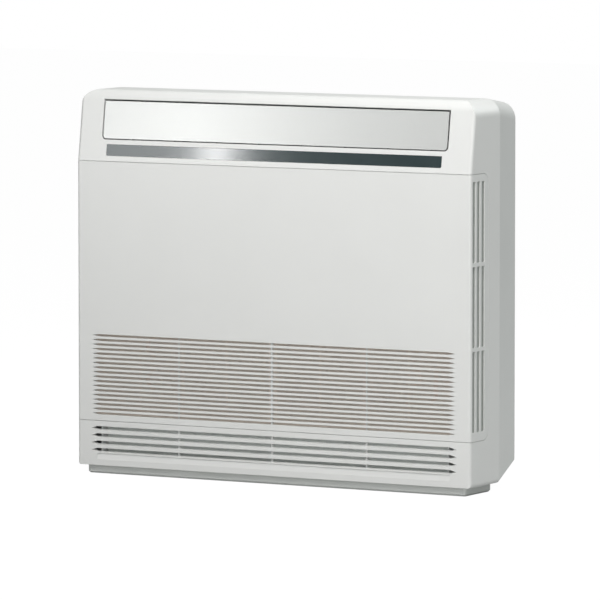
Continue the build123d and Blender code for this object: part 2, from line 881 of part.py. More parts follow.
fan_axis = Axis((0, 0, fan_z), (0, 1, 0))
with BuildPart() as bell_mouth:
    with BuildSketch(Plane.XY.offset(fan_z)):
        with BuildLine():
            bell = FilletPolyline(
                (bell_throat + bell_round + bell_flange, orifice_y - seat_gap - bell_wall / 2),
                (bell_throat + bell_wall / 2, orifice_y - seat_gap - bell_wall / 2),
                (bell_throat + bell_wall / 2, bell_tip),
                radius=bell_round,
            )
        trace(bell, bell_wall)
    revolve(axis=fan_axis)

bell_mouth.part.label = "bell_mouth"
export_step(bell_mouth.part, "parts/bell_mouth.step")



def draw_shroud(wall):
    """The fan's shroud ring: a flared cone turned round the fan's axis."""
    with BuildPart() as ring:
        with BuildSketch(Plane.XY.offset(fan_z)):
            with BuildLine():
                cone = Spline(
                    (fan_inlet + fan_wall / 2, fan_front),
                    (fan_inlet + shroud_flare, fan_front + shroud_rise * 0.35),
                    (fan_radius, fan_front + shroud_rise),
                    tangents=[(0.35, 1), (1, 0.25)],
                )
            trace(cone, wall)
        revolve(axis=fan_axis)
    return ring.part


# Fan: back disc, hub cup round the motor and curved blades, with the shroud
# ring welded on the blades' front ends
with BuildPart() as fan_blade:
    with BuildSketch(Plane.XZ.offset(-fan_back + fan_wall / 2)):
        with BuildLine():
            camber = ThreePointArc(
                (blade_root, fan_z),
                (
                    blade_middle * cos(radians(blade_sweep / 3)),
                    fan_z + blade_middle * sin(radians(blade_sweep / 3)),
                ),
                (
                    blade_tip * cos(radians(blade_sweep)),
                    fan_z + blade_tip * sin(radians(blade_sweep)),
                ),
            )
        trace(camber, blade_wall)
    extrude(amount=fan_back - fan_front)
    with BuildSketch(Plane.XY.offset(fan_z)):
        with BuildLine():
            Polyline(
                (0, fan_front + shroud_rise),
                (bell_throat - inlet_gap, bell_tip + inlet_gap),
                (fan_inlet + shroud_flare, bell_tip + inlet_gap),
                (fan_radius - blade_setback, fan_front + shroud_rise - weld_gap),
                (fan_radius, fan_front + shroud_rise + fan_wall),
                (fan_radius, fan_back),
                (0, fan_back),
                close=True,
            )
        make_face()
    revolve(axis=fan_axis, mode=Mode.INTERSECT)

with BuildPart() as turbo_fan:
    with BuildSketch(Plane.XY.offset(fan_z)):
        with BuildLine():
            cup = FilletPolyline(
                (fan_radius, fan_back - fan_wall / 2),
                (hub_radius - fan_wall / 2, fan_back - fan_wall / 2),
                (hub_radius - fan_wall / 2, hub_front + fan_wall / 2),
                (shaft_radius + running + 1, hub_front + fan_wall / 2),
                radius=6,
            )
        trace(cup, fan_wall)
    revolve(axis=fan_axis)
    for number in range(blade_count):
        add(fan_blade.part.rotate(fan_axis, 360 / blade_count * number))
    add(draw_shroud(fan_wall + 2 * weld_gap), mode=Mode.SUBTRACT)
    with BuildSketch(Plane.XZ.offset(-hub_front - fan_wall)):
        with Locations((0, fan_z)):
            Circle(hub_boss)
    extrude(amount=hub_boss_length)
    with BuildSketch(Plane.XZ):
        with Locations((0, fan_z)):
            Circle(shaft_radius + running)
    extrude(amount=depth, both=True, mode=Mode.SUBTRACT)

turbo_fan.part.label = "turbo_fan"
export_step(turbo_fan.part, "parts/turbo_fan.step")

fan_shroud = draw_shroud(fan_wall)
fan_shroud.label = "fan_shroud"
export_step(fan_shroud, "parts/fan_shroud.step")

boss_front = hub_front + fan_wall - hub_boss_length
with BuildPart() as fan_nut:
    with BuildSketch(Plane.XZ.offset(-boss_front + seat_gap / 3)):
        with Locations((0, fan_z)):
            RegularPolygon(nut_radius, 6)
            Circle(shaft_radius + running, mode=Mode.SUBTRACT)
    extrude(amount=nut_height)

fan_nut.part.label = "fan_nut"
export_step(fan_nut.part, "parts/fan_nut.step")

with BuildPart() as motor_shaft:
    with BuildSketch(Plane.XZ.offset(-motor_back + seat_gap)):
        with Locations((0, fan_z)):
            Circle(shaft_radius)
    extrude(amount=motor_back - seat_gap - boss_front + nut_height + 3)
    chamfer(motor_shaft.edges().filter_by(GeomType.CIRCLE), 0.6)

motor_shaft.part.label = "motor_shaft"
export_step(motor_shaft.part, "parts/motor_shaft.step")

# Fan motor, flanged to the back of the casing
flange_front = casing_rear + seat_gap
flange_rear = flange_front + motor_flange_wall
with BuildPart() as fan_motor:
    with BuildSketch(Plane.XZ.offset(-flange_front)):
        with Locations((0, fan_z)):
            Circle(motor_radius)
    extrude(amount=flange_front - motor_front)
    fillet(fan_motor.edges().group_by(Axis.Y)[0], 5)
    with BuildSketch(Plane.XZ.offset(-flange_front)):
        with Locations((0, fan_z)):
            Circle(motor_flange)
            with PolarLocations(motor_screw_circle, 4, start_angle=45):
                Circle(screw_radius + 0.2, mode=Mode.SUBTRACT)
    extrude(amount=-motor_flange_wall)
    with BuildSketch(Plane.XZ.offset(-flange_rear)):
        with Locations((0, fan_z)):
            Circle(motor_boss)
            with PolarLocations((motor_boss + motor_flange) / 2, 6):
                Rectangle(motor_flange - motor_boss - 6, 2)
    extrude(amount=-(motor_back - flange_rear) / 2)
    with BuildSketch(Plane.XZ.offset(-flange_rear)):
        with Locations((0, fan_z)):
            Circle(motor_boss)
    extrude(amount=-(motor_back - flange_rear))
    with BuildSketch(Plane.XZ):
        with Locations((0, fan_z)):
            Circle(shaft_radius + running)
    extrude(amount=depth, both=True, mode=Mode.SUBTRACT)

fan_motor.part.label = "fan_motor"
export_step(fan_motor.part, "parts/fan_motor.step")


def draw_lower_air(grow):
    """The lower duct's air path from the casing to the grille, from the side."""
    with BuildSketch(Plane.YZ) as air:
        with BuildLine():
            Polyline(
                (front_y - 10, lower_bottom),
                (lower_knee_y, lower_bottom),
                (casing_back, lower_knee_z),
                (casing_back, casing_low + 10),
                (throat_y, casing_low + 10),
                (throat_y, lower_top),
                (front_y - 10, lower_top),
                close=True,
            )
        make_face()
        knee = air.vertices().sort_by_distance((throat_y, lower_top))[0]
        fillet(knee, duct_knee)
        turn = air.vertices().sort_by_distance((lower_knee_y, lower_bottom))[0]
        fillet(turn, duct_turn)
        if grow:
            offset(amount=grow, kind=Kind.INTERSECTION)
    return air.sketch


# Lower duct, from the fan casing to the lower outlet grille
grille_back_y = front_y + skin + outlet_pad
with BuildPart() as lower_duct:
    extrude(draw_lower_air(duct_wall), amount=duct_half, both=True)
    extrude(draw_lower_air(0), amount=mouth_half, both=True, mode=Mode.SUBTRACT)
    with Locations((0, 0, casing_low - seat_gap + height / 2)):
        Box(width, 2 * depth, height, mode=Mode.SUBTRACT)
    with Locations((0, grille_back_y + seat_gap - depth / 2, 0)):
        Box(width, depth, height, mode=Mode.SUBTRACT)
    with BuildSketch(Plane.YZ):
        with Locations((damper_axis_y, damper_axis_z)):
            Circle(damper_pin + running)
    extrude(amount=width, both=True, mode=Mode.SUBTRACT)

lower_duct.part.label = "lower_duct"
export_step(lower_duct.part, "parts/lower_duct.step")

# Damper that closes the lower outlet
damper_half = mouth_half - 1.0
damper_low = lower_bottom + 1.5
with BuildPart() as lower_damper:
    with BuildSketch(Plane.YZ):
        with Locations((damper_axis_y, damper_axis_z)):
            Circle(damper_spine)
        with Locations((damper_axis_y, (damper_axis_z + damper_low) / 2)):
            Rectangle(damper_wall, damper_axis_z - damper_low)
    extrude(amount=damper_half, both=True)
    with BuildSketch(Plane.YZ):
        with Locations((damper_axis_y, damper_axis_z)):
            Circle(damper_pin)
    extrude(amount=duct_half + pin_reach, both=True)

lower_damper.part.label = "lower_damper"
export_step(lower_damper.part, "parts/lower_damper.step")

with BuildPart() as damper_motor:
    with BuildSketch(Plane.YZ.offset(duct_half + seat_gap)):
        with Locations((damper_axis_y, damper_axis_z)):
            Circle(stepper_radius)
    extrude(amount=stepper_length)
    with BuildSketch(Plane.YZ.offset(duct_half + seat_gap)):
        with Locations((damper_axis_y, damper_axis_z)):
            Circle(damper_pin + running)
    extrude(amount=pin_reach, mode=Mode.SUBTRACT)

damper_motor.part.label = "damper_motor"
export_step(damper_motor.part, "parts/damper_motor.step")

# Drain pan on posts over the lower duct, with the drain spigot at its right end
pan_middle_y = (pan_front + pan_back) / 2
duct_top = lower_top + duct_wall
with BuildPart() as drain_pan:
    with Locations((0, pan_middle_y, (pan_low + pan_high) / 2)):
        Box(2 * pan_half, pan_back - pan_front, pan_high - pan_low)
    with Locations((0, pan_middle_y, (pan_low + pan_high) / 2 + pan_wall)):
        Box(
            2 * (pan_half - pan_wall), pan_back - pan_front - 2 * pan_wall, pan_high - pan_low,
            mode=Mode.SUBTRACT,
        )
    with BuildSketch(Plane.XY.offset(duct_top + seat_gap)):
        with Locations((0, pan_middle_y - 4)):
            with GridLocations(2 * pan_half - 60, 22, 2, 2):
                Circle(5)
    extrude(amount=pan_low - duct_top - seat_gap)
    with BuildSketch(Plane.YZ.offset(pan_half - pan_wall / 2)):
        with Locations((pan_middle_y, pan_low + spigot_radius)):
            Circle(spigot_radius)
    extrude(amount=spigot_length)
    with BuildSketch(Plane.YZ.offset(pan_half - 2 * pan_wall)):
        with Locations((pan_middle_y, pan_low + spigot_radius)):
            Circle(spigot_bore)
    extrude(amount=spigot_length + 2 * pan_wall, mode=Mode.SUBTRACT)

drain_pan.part.label = "drain_pan"
export_step(drain_pan.part, "parts/drain_pan.step")

# Heat exchanger: grooved fin pack, end plates and one serpentine tube
coil_y = (coil_front + coil_back) / 2
coil_middle = (coil_low + coil_high) / 2
tube_low = coil_middle - tube_pitch * (tube_count - 1) / 2
tube_end = coil_half + 12.0


def draw_tube_holes(radius):
    """The heat exchanger's column of tubes seen from the side."""
    with BuildSketch(Plane.YZ) as holes:
        with Locations((coil_y, coil_middle)):
            with GridLocations(1, tube_pitch, 1, tube_count):
                Circle(radius)
    return holes.sketch


with BuildPart() as coil_fins:
    with Locations((0, coil_y, coil_middle)):
        Box(2 * (coil_half - seat_gap), coil_wall, coil_high - coil_low)
        with GridLocations(fin_pitch, coil_wall, int(2 * coil_half / fin_pitch), 2):
            Box(fin_groove, 2 * fin_groove_depth, coil_high, mode=Mode.SUBTRACT)
    extrude(draw_tube_holes(tube_radius + running), amount=width, both=True, mode=Mode.SUBTRACT)

coil_fins.part.label = "coil_fins"
export_step(coil_fins.part, "parts/coil_fins.step")

for side, name in ((-1, "left"), (1, "right")):
    with BuildPart() as coil_plate:
        with BuildSketch(Plane.YZ.offset(side * (coil_half + end_plate_wall / 2))):
            with BuildLine():
                Polyline(
                    (coil_front - 3, pan_low + pan_wall + seat_gap),
                    (coil_back + 3, pan_low + pan_wall + seat_gap),
                    (coil_back + 3, pan_high + 2),
                    (orifice_y - seat_gap, pan_high + 2),
                    (orifice_y - seat_gap, coil_high + 3),
                    (coil_front - 3, coil_high + 3),
                    close=True,
                )
            make_face()
        extrude(amount=end_plate_wall / 2, both=True)
        extrude(draw_tube_holes(tube_radius + running), amount=width, both=True, mode=Mode.SUBTRACT)
    coil_plate.part.label = f"coil_plate_{name}"
    export_step(coil_plate.part, f"parts/coil_plate_{name}.step")

with BuildPart() as coil_tube:
    with BuildLine(Plane.XZ.offset(-coil_y)):
        side = 1
        for number in range(tube_count):
            run_z = tube_low + tube_pitch * number
            Line((side * tube_end, run_z), (-side * tube_end, run_z))
            if number < tube_count - 1:
                ThreePointArc(
                    (-side * tube_end, run_z),
                    (-side * (tube_end + tube_pitch / 2), run_z + tube_pitch / 2),
                    (-side * tube_end, run_z + tube_pitch),
                )
            side = -side
    with BuildSketch(Plane(origin=(tube_end, coil_y, tube_low), z_dir=(-1, 0, 0))):
        Circle(tube_radius)
    sweep()

coil_tube.part.label = "coil_tube"
export_step(coil_tube.part, "parts/coil_tube.step")

# Refrigerant pipes from the heat exchanger to the flare nuts behind the casing
pipe_starts = {"gas": tube_low + tube_pitch * (tube_count - 1), "liquid": tube_low}
pipe_radii = {"gas": gas_radius, "liquid": liquid_radius}
pipe_risers = {"gas": gas_x, "liquid": liquid_x}
pipe_levels = {"gas": gas_level, "liquid": liquid_level}
for name in ("gas", "liquid"):
    start_x = tube_end + seat_gap
    start_z = pipe_starts[name]
    riser_x = pipe_risers[name]
    level = pipe_levels[name]
    radius = pipe_radii[name]
    with BuildPart() as pipe:
        with BuildLine():
            FilletPolyline(
                (start_x, coil_y, start_z),
                (riser_x, coil_y, start_z),
                (riser_x, coil_y, level),
                (riser_x, pipe_back, level),
                (riser_x, pipe_back, pipe_end),
                radius=pipe_bend,
            )
        with BuildSketch(Plane(origin=(start_x, coil_y, start_z), z_dir=(1, 0, 0))):
            Circle(radius)
        sweep()
    pipe.part.label = f"{name}_pipe"
    export_step(pipe.part, f"parts/{name}_pipe.step")

    with BuildPart() as flare_nut:
        with BuildSketch(Plane.XY.offset(pipe_end - nut_drop)):
            with Locations((riser_x, pipe_back)):
                RegularPolygon(radius + flare_wall, 6)
                Circle(radius + running, mode=Mode.SUBTRACT)
        extrude(amount=flare_length)
    flare_nut.part.label = f"{name}_flare_nut"
    export_step(flare_nut.part, f"parts/{name}_flare_nut.step")

# Back frame: a tray that closes the cabinet's back and carries the casing
with BuildPart() as frame_block:
    add(seat_form)
    with Locations((0, (frame_front + frame_back) / 2, height / 2)):
        Box(2 * width, frame_back - frame_front, 2 * height, mode=Mode.INTERSECT)

with BuildPart() as frame_pocket:
    add(cabinet_form(skin + seat_gap + frame_wall, rear_y))
    with Locations((0, (frame_front + frame_inner) / 2, height / 2)):
        Box(2 * width, frame_inner - frame_front, 2 * height, mode=Mode.INTERSECT)

with BuildPart() as back_frame:
    add(frame_block.part)
    add(frame_pocket.part, mode=Mode.SUBTRACT)
    with BuildSketch(Plane.XZ.offset(-frame_inner)):
        with Locations((0, (casing_low + casing_high) / 2)):
            with GridLocations(2 * post_x, post_z, 2, 2):
                Circle(screw_radius + 0.2)
        with Locations((0, hook_z)):
            with GridLocations(2 * hook_x, 1, 2, 1):
                Rectangle(hook_width + 4, hook_height)
        with Locations((pipe_hole_x, pipe_hole_z)):
            RectangleRounded(pipe_hole_width, pipe_hole_height, 8)
    extrude(amount=-frame_wall, mode=Mode.SUBTRACT)

back_frame.part.label = "back_frame"
export_step(back_frame.part, "parts/back_frame.step")

# Wall plate with two hooks that enter the back frame
plate_front = rear_y - plate_wall
plate_middle = (plate_low + plate_high) / 2
with BuildPart() as wall_plate:
    with BuildSketch(Plane.XZ.offset(-rear_y)):
        with Locations((0, plate_middle)):
            RectangleRounded(2 * plate_half, plate_high - plate_low, 10)
            with GridLocations(plate_bolt_x, plate_bolt_z, 2, 2):
                Circle(plate_bolt_radius, mode=Mode.SUBTRACT)
            with GridLocations(plate_window_pitch, 1, 3, 1):
                RectangleRounded(
                    plate_window, plate_bolt_z - 50, 8, mode=Mode.SUBTRACT
                )
    extrude(amount=plate_wall)
    with Locations((0, plate_front - hook_reach / 2, hook_z - hook_height / 2 + plate_wall)):
        with GridLocations(2 * hook_x, 1, 2, 1):
            Box(hook_width, hook_reach, plate_wall)
    with Locations((0, plate_front - hook_reach + plate_wall / 2, hook_z)):
        with GridLocations(2 * hook_x, 1, 2, 1):
            Box(hook_width, plate_wall, hook_height - 2 * plate_wall + seat_gap)

wall_plate.part.label = "wall_plate"
export_step(wall_plate.part, "parts/wall_plate.step")

# Base: a hollow plinth at the front and two runners under the rising back
base_half = width / 2 - base_side_inset
base_front = front_y + base_front_inset
slope = rear_lift / (rear_y - bend_y)
with BuildPart() as base:
    with BuildSketch() as plan:
        with Locations((0, (base_front + base_back) / 2)):
            Rectangle(2 * base_half, base_back - base_front)
        fillet(plan.vertices(), foot_corner)
    extrude(amount=plinth)
    chamfer(base.edges().group_by(Axis.Z)[0], base_chamfer)
    with Locations((0, (base_front + base_back) / 2, plinth / 2)):
        Box(
            2 * (base_half - base_rim), base_back - base_front - 2 * base_rim, plinth,
            mode=Mode.SUBTRACT,
        )
    for side in (-1, 1):
        with BuildSketch(Plane.YZ.offset(side * runner_middle)):
            with BuildLine():
                Polyline(
                    (base_back - base_rim / 2, 0),
                    (runner_back, 0),
                    (runner_back, plinth + slope * (runner_back - bend_y)),
                    (bend_y, plinth),
                    (base_back - base_rim / 2, plinth),
                    close=True,
                )
            make_face()
        extrude(amount=runner_width / 2, both=True)

base.part.label = "base"
export_step(base.part, "parts/base.step")

# Control box on the back frame, right of the fan casing
box_back = frame_inner - seat_gap
box_x = (box_left + box_right) / 2
box_z = (box_low + box_high) / 2
with BuildPart() as control_box:
    with Locations((box_x, (box_front + box_back) / 2, box_z)):
        Box(box_right - box_left, box_back - box_front, box_high - box_low)
    with Locations((box_x, (box_front + box_back) / 2 - box_wall, box_z)):
        Box(
            box_right - box_left - 2 * box_wall,
            box_back - box_front,
            box_high - box_low - 2 * box_wall,
            mode=Mode.SUBTRACT,
        )
    with BuildSketch(Plane.XZ.offset(-box_back + box_wall)):
        with Locations((box_x, box_z)):
            with GridLocations(board_width - 12, board_height - 12, 2, 2):
                Circle(3)
    extrude(amount=standoff)
    with BuildSketch(Plane.XZ.offset(-box_front)):
        with Locations((box_x, box_z)):
            with GridLocations(box_right - box_left - 2 * box_tab, 2 * box_screw_z, 2, 2):
                Rectangle(2 * box_tab, 2 * box_tab)
                Circle(screw_radius + running, mode=Mode.SUBTRACT)
    extrude(amount=-box_tab)

control_box.part.label = "control_box"
export_step(control_box.part, "parts/control_box.step")

with BuildPart() as control_cover:
    with BuildSketch(Plane.XZ.offset(-box_front + seat_gap)):
        with Locations((box_x, box_z)):
            Rectangle(box_right - box_left, box_high - box_low)
            with GridLocations(box_right - box_left - 2 * box_tab, 2 * box_screw_z, 2, 2):
                Circle(screw_radius + seat_gap, mode=Mode.SUBTRACT)
            with Locations((0, -(box_high - box_low) / 2 + 18)):
                with GridLocations(12, 1, 6, 1):
                    SlotOverall(16, 3, rotation=90, mode=Mode.SUBTRACT)
    extrude(amount=box_wall)

control_cover.part.label = "control_cover"
export_step(control_cover.part, "parts/control_cover.step")

board_back_y = box_back - box_wall - standoff - seat_gap
with BuildPart() as control_board:
    with BuildSketch(Plane.XZ.offset(-board_back_y)):
        with Locations((box_x, box_z)):
            Rectangle(board_width, board_height)
    extrude(amount=board_wall)
    with BuildSketch(Plane.XZ.offset(-board_back_y + board_wall)):
        for x in (box_x - board_width / 2 + 20, box_x - board_width / 2 + 42):
            with Locations((x, box_z + board_height / 2 - board_tall)):
                Circle(capacitor_radius)
        with Locations((box_x + board_width / 2 - 20, box_z + board_height / 2 - board_tall)):
            Rectangle(board_tall, board_tall)
    extrude(amount=board_tall)
    with BuildSketch(Plane.XZ.offset(-board_back_y + board_wall)):
        with Locations((box_x, box_z - 4)):
            with GridLocations(relay_pitch, 1, relay_count, 1):
                Rectangle(relay_width, relay_width)
    extrude(amount=relay_height)

control_board.part.label = "control_board"
export_step(control_board.part, "parts/control_board.step")

terminal_z = box_z - board_height / 2 + terminal_depth
with BuildPart() as terminal_block:
    with BuildSketch(Plane.XZ.offset(-board_back_y + board_wall + seat_gap / 3)):
        with Locations((box_x, terminal_z)):
            Rectangle(terminal_width, terminal_height)
    extrude(amount=terminal_depth)
    with BuildSketch(Plane.XZ.offset(-board_back_y + board_wall + terminal_depth)):
        with Locations((box_x, terminal_z)):
            with GridLocations(terminal_width / terminal_count, 1, terminal_count, 1):
                Rectangle(
                    terminal_width / terminal_count - terminal_rib,
                    terminal_height - 2 * terminal_rib,
                )
    extrude(amount=terminal_depth / 3, both=True, mode=Mode.SUBTRACT)

terminal_block.part.label = "terminal_block"
export_step(terminal_block.part, "parts/terminal_block.step")


def draw_screws(seat, places, length):
    """Pan-head screws whose heads stand on the seat and whose shanks go below it."""
    along = Axis(seat.origin, seat.z_dir)
    with BuildPart() as screws:
        with BuildSketch(seat):
            with Locations(*places):
                Circle(screw_head)
        extrude(amount=screw_head_height)
        fillet(screws.edges().group_by(along)[-1], screw_head_height / 3)
        with BuildSketch(seat):
            with Locations(*places):
                Circle(screw_radius)
        extrude(amount=-length)
    return screws.part


post_places = [
    (x, z)
    for x in (-post_x, post_x)
    for z in (
        (casing_low + casing_high - post_z) / 2,
        (casing_low + casing_high + post_z) / 2,
    )
]
casing_screws = draw_screws(
    Plane.XZ.offset(-casing_back), post_places, frame_back - casing_back
)
casing_screws.label = "casing_screws"
export_step(casing_screws, "parts/casing_screws.step")

back_plane = Plane(origin=(0, flange_rear, 0), x_dir=(1, 0, 0), z_dir=(0, 1, 0))
motor_places = [
    (
        motor_screw_circle * cos(radians(45 + 90 * number)),
        -fan_z + motor_screw_circle * sin(radians(45 + 90 * number)),
    )
    for number in range(4)
]
motor_screws = draw_screws(back_plane, motor_places, motor_flange_wall + casing_wall + 1.5)
motor_screws.label = "motor_screws"
export_step(motor_screws, "parts/motor_screws.step")

box_places = [
    (box_x + x_side * (box_right - box_left - 2 * box_tab) / 2, box_z + z_side * box_screw_z)
    for x_side in (-1, 1)
    for z_side in (-1, 1)
]
cover_screws = draw_screws(
    Plane.XZ.offset(-box_front + seat_gap + box_wall), box_places, box_tab
)
cover_screws.label = "cover_screws"
export_step(cover_screws, "parts/cover_screws.step")
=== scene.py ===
"""Floor console air conditioner: finishes, woven nets, thin fins, light and camera.

Everything is in metres in the frame of the CAD model: X runs to the right, Y
to the back and Z up, and the front face looks along -Y.
"""
import math

import bpy
import numpy as np
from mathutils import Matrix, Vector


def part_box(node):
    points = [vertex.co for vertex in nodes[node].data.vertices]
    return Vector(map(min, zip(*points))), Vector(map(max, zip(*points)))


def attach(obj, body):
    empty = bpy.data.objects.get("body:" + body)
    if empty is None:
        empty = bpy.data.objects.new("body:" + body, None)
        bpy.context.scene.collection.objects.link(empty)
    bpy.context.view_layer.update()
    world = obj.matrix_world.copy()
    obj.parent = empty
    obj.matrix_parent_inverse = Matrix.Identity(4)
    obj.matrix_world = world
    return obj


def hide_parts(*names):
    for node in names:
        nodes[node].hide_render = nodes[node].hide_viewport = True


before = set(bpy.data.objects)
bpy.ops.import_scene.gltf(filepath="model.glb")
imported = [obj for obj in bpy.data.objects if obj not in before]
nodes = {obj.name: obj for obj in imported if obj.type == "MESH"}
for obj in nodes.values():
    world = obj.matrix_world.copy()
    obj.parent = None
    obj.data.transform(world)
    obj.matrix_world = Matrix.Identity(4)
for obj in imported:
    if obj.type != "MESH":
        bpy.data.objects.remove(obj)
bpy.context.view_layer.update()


class Value:
    """A socket of a node tree that can be written into arithmetic."""

    def __init__(self, finish, socket):
        self.finish = finish
        self.socket = socket

    def _math(self, operation, first, second):
        return self.finish.node("ShaderNodeMath", {"operation": operation}, [first, second])

    def __add__(self, other):
        return self._math("ADD", self, other)

    def __mul__(self, other):
        return self._math("MULTIPLY", self, other)

    def __sub__(self, other):
        return self._math("SUBTRACT", self, other)

    def __rsub__(self, other):
        return self._math("SUBTRACT", other, self)

    def __lt__(self, other):
        return self._math("LESS_THAN", self, other)

    def clamp(self):
        """The value held between 0 and 1."""
        return self.finish.node("ShaderNodeClamp", {"clamp_type": "MINMAX"}, {"Value": self})


class Finish:
    """A material with one Principled shader, which node by node gets its pattern."""

    def __init__(self, name, color, roughness, **constants):
        self.material = bpy.data.materials.new(name)
        self.material.use_nodes = True
        self.tree = self.material.node_tree
        self.tree.nodes.clear()
        self.shader = self.tree.nodes.new("ShaderNodeBsdfPrincipled")
        self.output = self.tree.nodes.new("ShaderNodeOutputMaterial")
        self.tree.links.new(self.shader.outputs[0], self.output.inputs["Surface"])
        self.shader.inputs["Base Color"].default_value = (*color, 1)
        self.shader.inputs["Roughness"].default_value = roughness
        for socket, number in constants.items():
            self.shader.inputs[socket.replace("_", " ")].default_value = number

    def node(self, kind, settings=None, values=None, output=0):
        """One node of any type, with its settings first and then its sockets."""
        made = self.tree.nodes.new(kind)
        for key, setting in (settings or {}).items():
            setattr(made, key, setting)
        pairs = values.items() if isinstance(values, dict) else enumerate(values or [])
        for key, entry in pairs:
            if isinstance(entry, Value):
                self.tree.links.new(entry.socket, made.inputs[key])
            else:
                made.inputs[key].default_value = entry
        return Value(self, made.outputs[output])

    def place(self, scale=(1, 1, 1)):
        """Object coordinates in metres, stretched by scale."""
        spot = self.node("ShaderNodeTexCoord", output="Object")
        return self.node("ShaderNodeMapping", {}, {"Vector": spot, "Scale": scale})

    def noise(self, size, detail, stretch=(1, 1, 1)):
        """Soft noise whose grains are about size metres across."""
        return self.node(
            "ShaderNodeTexNoise",
            {},
            {"Vector": self.place(stretch), "Scale": 1 / size, "Detail": detail},
        )

    def mix(self, factor, first, second):
        """Two colours mixed by a factor."""
        return self.node(
            "ShaderNodeMix",
            {"data_type": "RGBA"},
            {0: factor, 6: self.rgba(first), 7: self.rgba(second)},
            output=2,
        )

    @staticmethod
    def rgba(color):
        """A colour as four numbers, or the link it already is."""
        return color if isinstance(color, Value) else (*color, 1)

    def feed(self, socket, value):
        """Links a value into a socket of the shader."""
        self.tree.links.new(value.socket, self.shader.inputs[socket])

    def soften(self, radius, height=None, strength=1.0, distance=0.0):
        """Rounds the look of the edges, and adds a fine relief."""
        normal = self.node("ShaderNodeBevel", {"samples": 6}, {"Radius": radius})
        if height is not None:
            normal = self.node(
                "ShaderNodeBump",
                {},
                {
                    "Strength": strength,
                    "Distance": distance,
                    "Height": height,
                    "Normal": normal,
                },
            )
        self.feed("Normal", normal)


def case_plastic(name, color, roughness, grain):
    """Moulded plastic: faint clouding, fine spark-eroded grain, rounded edges."""
    finish = Finish(name, color, roughness, Specular_IOR_Level=0.42)
    cloud = finish.noise(size=0.09, detail=2.0)
    darker = tuple(part * 0.965 for part in color)
    finish.feed("Base Color", finish.mix(cloud, darker, color))
    fine = finish.noise(size=grain, detail=2.0)
    finish.feed("Roughness", (cloud * 0.08 + fine * 0.06 + (roughness - 0.07)).clamp())
    finish.soften(radius=0.0007, height=fine, strength=0.16, distance=0.00006)
    return finish


def inner_plastic(name, color, roughness=0.5):
    """Unpainted inner plastic with flow marks."""
    finish = Finish(name, color, roughness, Specular_IOR_Level=0.4)
    flow = finish.noise(size=0.03, detail=4.0, stretch=(1, 1, 0.35))
    fine = finish.noise(size=0.0012, detail=2.0)
    darker = tuple(part * 0.86 for part in color)
    finish.feed("Base Color", finish.mix(flow, darker, color))
    finish.feed("Roughness", (flow * 0.2 + (roughness - 0.1)).clamp())
    finish.soften(radius=0.0005, height=fine, strength=0.2, distance=0.0001)
    return finish


def sheet_metal(name, color, roughness=0.35, metallic=0.9):
    """Galvanised sheet: a spangle of flat crystals over a faint rolling grain."""
    finish = Finish(name, color, roughness)
    crystals_per_metre = 90
    cells = finish.node(
        "ShaderNodeTexVoronoi",
        {"feature": "F1"},
        {"Vector": finish.place(), "Scale": crystals_per_metre},
        output=1,
    )
    grey = finish.node("ShaderNodeRGBToBW", {}, [cells])
    rolled = finish.noise(size=0.004, detail=2.0, stretch=(0.05, 1, 1))
    darker = tuple(part * 0.8 for part in color)
    finish.feed("Base Color", finish.mix(grey * 0.7 + rolled * 0.3, darker, color))
    finish.feed("Roughness", (grey * 0.18 + (roughness - 0.08)).clamp())
    finish.feed("Metallic", grey * 0.1 + (metallic - 0.1))
    finish.soften(radius=0.0003)
    return finish


def drawn_metal(name, color, roughness=0.25):
    """Copper, brass or steel with tarnish clouds and draw lines."""
    finish = Finish(name, color, roughness)
    tarnish = finish.noise(size=0.02, detail=5.0)
    lines = finish.noise(size=0.0008, detail=1.0, stretch=(0.1, 1, 0.1))
    darker = (color[0] * 0.62, color[1] * 0.52, color[2] * 0.5)
    finish.feed("Base Color", finish.mix((tarnish * 1.4 - 0.35).clamp(), color, darker))
    finish.feed("Roughness", (tarnish * 0.35 + (roughness - 0.1)).clamp())
    finish.feed("Metallic", 1 - tarnish * 0.15)
    finish.soften(radius=0.0002, height=lines, strength=0.1, distance=0.00005)
    return finish


def flap_paint():
    """Pearl silver paint: fine flakes under a thin clear coat."""
    finish = Finish("flap_paint", (0.58, 0.59, 0.58), 0.36, Coat_Weight=0.3, Coat_Roughness=0.25)
    flake = finish.noise(size=0.0006, detail=1.0)
    cloud = finish.noise(size=0.12, detail=2.0)
    finish.feed("Base Color", finish.mix(flake, (0.545, 0.555, 0.545), (0.61, 0.62, 0.61)))
    finish.feed("Metallic", flake * 0.1 + 0.18)
    finish.feed("Roughness", (cloud * 0.06 + flake * 0.05 + 0.33).clamp())
    finish.soften(radius=0.0008)
    return finish


def strip_gloss():
    """Smoked gloss plastic of the display strip."""
    finish = Finish("strip_gloss", (0.028, 0.045, 0.048), 0.1, Coat_Weight=0.6, Coat_Roughness=0.12)
    cloud = finish.noise(size=0.05, detail=2.0)
    finish.feed("Base Color", finish.mix(cloud, (0.024, 0.040, 0.043), (0.036, 0.054, 0.057)))
    finish.feed("Roughness", (cloud * 0.05 + 0.14).clamp())
    finish.soften(radius=0.0006)
    return finish


def net_thread():
    """Filter thread: matt beige plastic with dust in broad soft patches."""
    finish = Finish("net_thread", (0.88, 0.78, 0.70), 0.7)
    dust = finish.noise(size=0.05, detail=4.0)
    fine = finish.noise(size=0.003, detail=2.0)
    dusty = (0.84, 0.73, 0.64)
    clean = (0.93, 0.83, 0.75)
    finish.feed("Base Color", finish.mix(dust * 0.7 + fine * 0.3, dusty, clean))
    finish.feed("Roughness", dust * 0.1 + 0.65)
    return finish


